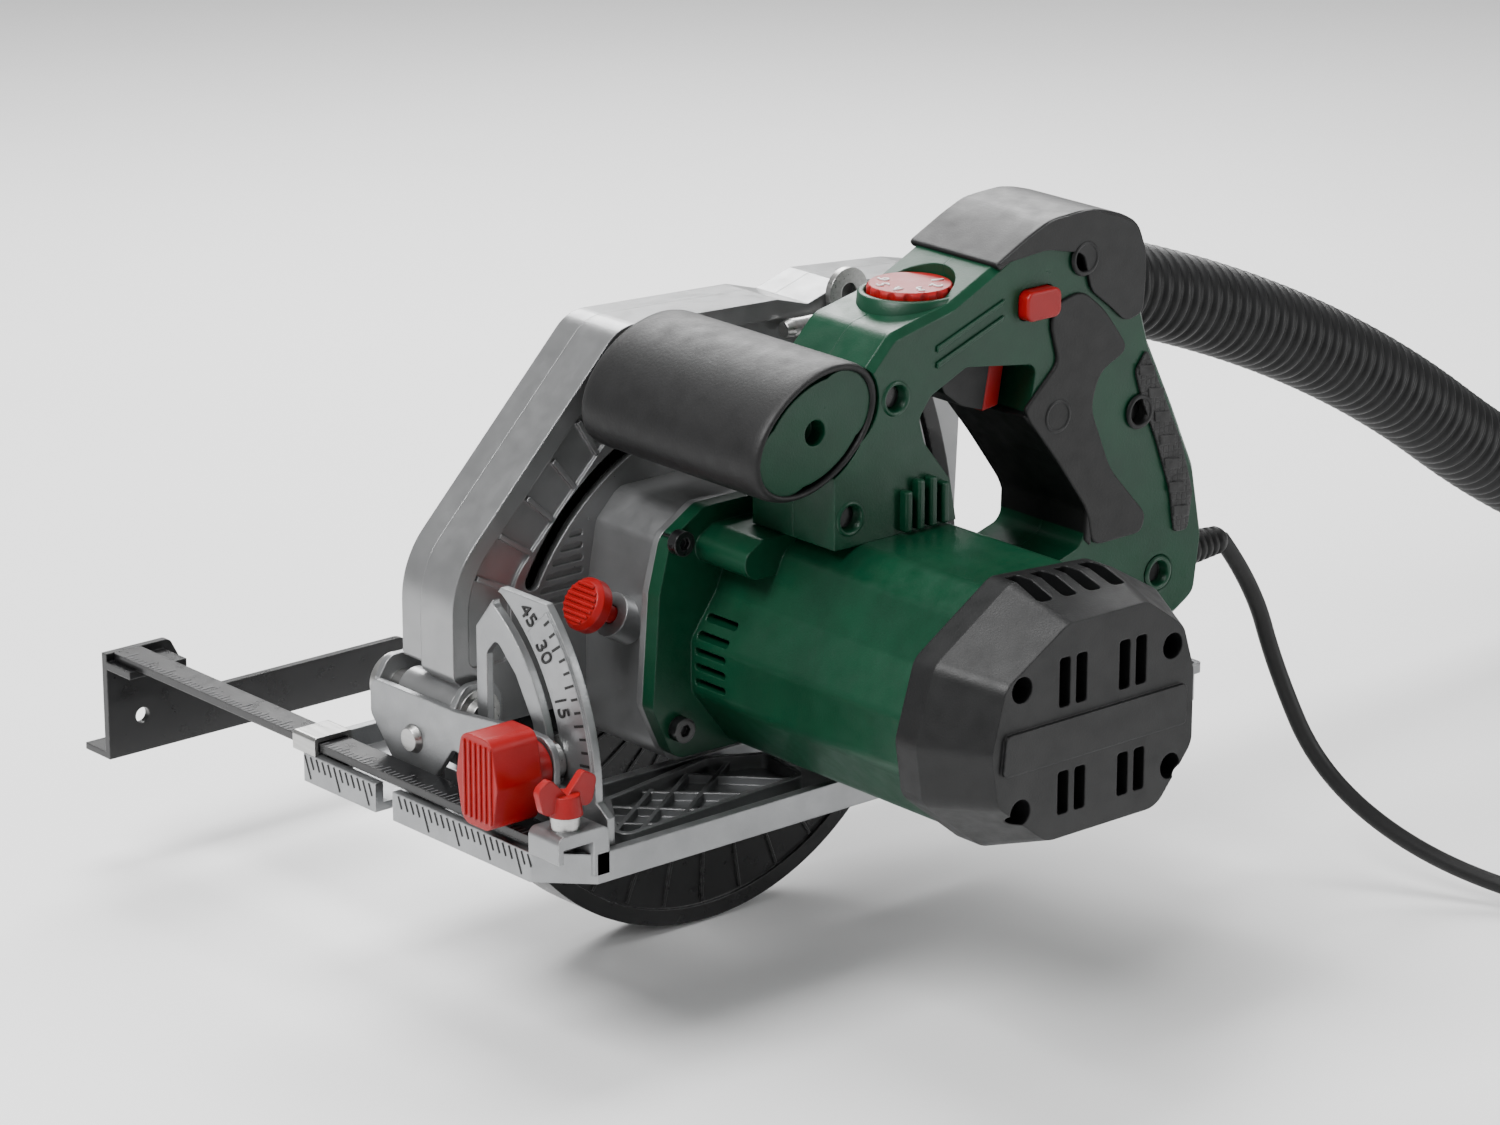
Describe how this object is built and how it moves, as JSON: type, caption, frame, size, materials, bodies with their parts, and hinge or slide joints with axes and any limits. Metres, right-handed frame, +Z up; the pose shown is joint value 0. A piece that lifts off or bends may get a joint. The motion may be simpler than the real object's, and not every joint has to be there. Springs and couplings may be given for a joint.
{
  "type": "circular saw",
  "caption": "Hand-held circular saw with guarded blade, bevelling base plate, parallel guide, main and second handle, dust hose and mains cord.",
  "frame": {"origin": "middle of the main grip, where a hand holds the saw up", "axes": "+X is the cutting direction (front), +Y points from the blade to the motor, +Z is up from the base plate"},
  "size_m": [1.0067, 0.5542, 0.2714],
  "materials": {
    "green_plastic": "fine grain",
    "black_plastic": "satin grain",
    "black_rubber": "textured",
    "silver_paint": "silver paint on a die casting",
    "cast_alloy": "cast",
    "zinc_steel": "zinc plated",
    "black_steel": "black finish",
    "bright_steel": "ground",
    "copper": "turned",
    "carbon": "graphite",
    "red_plastic": "satin",
    "grey_plastic": "moulded"
  },
  "bodies": {
    "saw_head": {"guard_shell": "silver_paint", "guard_cover": "silver_paint", "dust_duct": "black_plastic", "housing_screws": "black_steel", "gearbox_housing": "silver_paint", "motor_housing": "green_plastic", "end_cap": "black_plastic", "stator": "bright_steel", "brush_holders": "black_plastic", "carbon_brushes": "carbon", "bearings": "bright_steel", "handle_near_half": "green_plastic", "handle_far_half": "green_plastic", "grip_rubber": "black_rubber", "second_handle_core": "green_plastic", "second_handle_grip": "black_rubber", "trigger_switch": "grey_plastic", "trigger_pin": "bright_steel", "hex_key": "black_steel", "strain_relief": "black_rubber", "spindle_lock_boss": "grey_plastic", "depth_clamp_stud": "zinc_steel", "dust_hose": "black_rubber", "hose_cuff": "black_plastic", "cord": "black_rubber", "cord_coil": "black_rubber", "plug": "black_plastic"},
    "depth_frame": {"depth_fork": "zinc_steel", "bevel_rivets": "zinc_steel", "depth_pivot": "zinc_steel", "depth_arc": "black_steel", "bevel_bolt": "zinc_steel"},
    "base": {"shoe": "cast_alloy", "bevel_ears": "zinc_steel", "bevel_quadrant": "zinc_steel", "base_rivets": "zinc_steel", "guide_bridge": "zinc_steel", "guide_clamp_block": "zinc_steel", "guide_screw_spring": "zinc_steel"},
    "parallel_guide": {"guide_arm": "black_steel", "guide_fence": "black_steel"},
    "guide_screw": {"guide_wing_screw": "red_plastic"},
    "bevel_clamp": {"bevel_knob": "red_plastic"},
    "depth_lever": {"depth_lock_lever": "black_steel"},
    "swinging_guard": {"lower_guard": "black_steel", "retraction_lever": "zinc_steel"},
    "blade_set": {"spindle": "bright_steel", "spindle_gear": "bright_steel", "blade_flanges": "bright_steel", "blade_bolt": "bright_steel", "blade": "bright_steel"},
    "armature": {"armature_shaft": "bright_steel", "armature_core": "bright_steel", "commutator": "copper", "motor_fan": "grey_plastic", "pinion": "bright_steel"},
    "trigger_body": {"trigger": "black_plastic"},
    "lock_off": {"lock_off_button": "red_plastic"},
    "dial": {"speed_dial": "red_plastic"},
    "spindle_lock": {"spindle_lock_button": "red_plastic"}
  },
  "joints": [
    {"name": "depth_tilt", "type": "hinge", "parent": "saw_head", "child": "depth_frame", "pos_m": [0.212, -0.097, -0.079], "axis": [0, -1, 0], "range_deg": [0, 28]},
    {"name": "bevel_tilt", "type": "hinge", "parent": "depth_frame", "child": "base", "pos_m": [0.1, -0.097, -0.091], "axis": [-1, 0, 0], "range_deg": [0, 45]},
    {"name": "guide_slide", "type": "slide", "parent": "base", "child": "parallel_guide", "axis": [0, 1, 0], "range_m": [-0.006, 0.09]},
    {"name": "guide_screw_turn", "type": "hinge", "parent": "base", "child": "guide_screw", "pos_m": [0.231, -0.004, -0.095], "axis": [0, 0, 1], "range_deg": [0, 30]},
    {"name": "bevel_knob_turn", "type": "hinge", "parent": "depth_frame", "child": "bevel_clamp", "pos_m": [0.23, -0.02818, -0.08133], "axis": [1, 0, 0], "range_deg": [0, 45]},
    {"name": "depth_lever_turn", "type": "hinge", "parent": "saw_head", "child": "depth_lever", "pos_m": [0.00113, -0.069, -0.08636], "axis": [0, 1, 0], "range_deg": [0, 50]},
    {"name": "lower_guard_swing", "type": "hinge", "parent": "saw_head", "child": "swinging_guard", "pos_m": [0.1, -0.097, -0.085], "axis": [0, 1, 0], "range_deg": [0, 80], "stiffness_Nm_per_rad": 0.35, "springref_deg": -45.84},
    {"name": "blade_spin", "type": "hinge", "parent": "saw_head", "child": "blade_set", "pos_m": [0.1, -0.097, -0.085], "axis": [0, 1, 0], "continuous": true},
    {"name": "armature_spin", "type": "hinge", "parent": "saw_head", "child": "armature", "pos_m": [0.106, 0.003, -0.054], "axis": [0, 1, 0], "continuous": true},
    {"name": "trigger_pull", "type": "hinge", "parent": "saw_head", "child": "trigger_body", "pos_m": [0.078, 0, 0.042], "axis": [0, 1, 0], "range_deg": [0, 8], "stiffness_Nm_per_rad": 0.8, "springref_deg": -8.59},
    {"name": "lock_off_push", "type": "slide", "parent": "saw_head", "child": "lock_off", "axis": [0, -1, 0], "range_m": [0, 0.004], "stiffness_N_per_m": 400, "springref_m": -0.004},
    {"name": "speed_dial_turn", "type": "hinge", "parent": "saw_head", "child": "dial", "pos_m": [0.083, 0, 0.06], "axis": [0, 0, 1], "range_deg": [0, 270]},
    {"name": "spindle_lock_press", "type": "slide", "parent": "saw_head", "child": "spindle_lock", "axis": [-0.8779, 0, -0.4789], "range_m": [0, 0.0045], "stiffness_N_per_m": 400, "springref_m": -0.005}
  ],
  "couplings": [
    {"joint": "armature_spin", "follows": "blade_spin", "ratio": -3.8889}
  ]
}
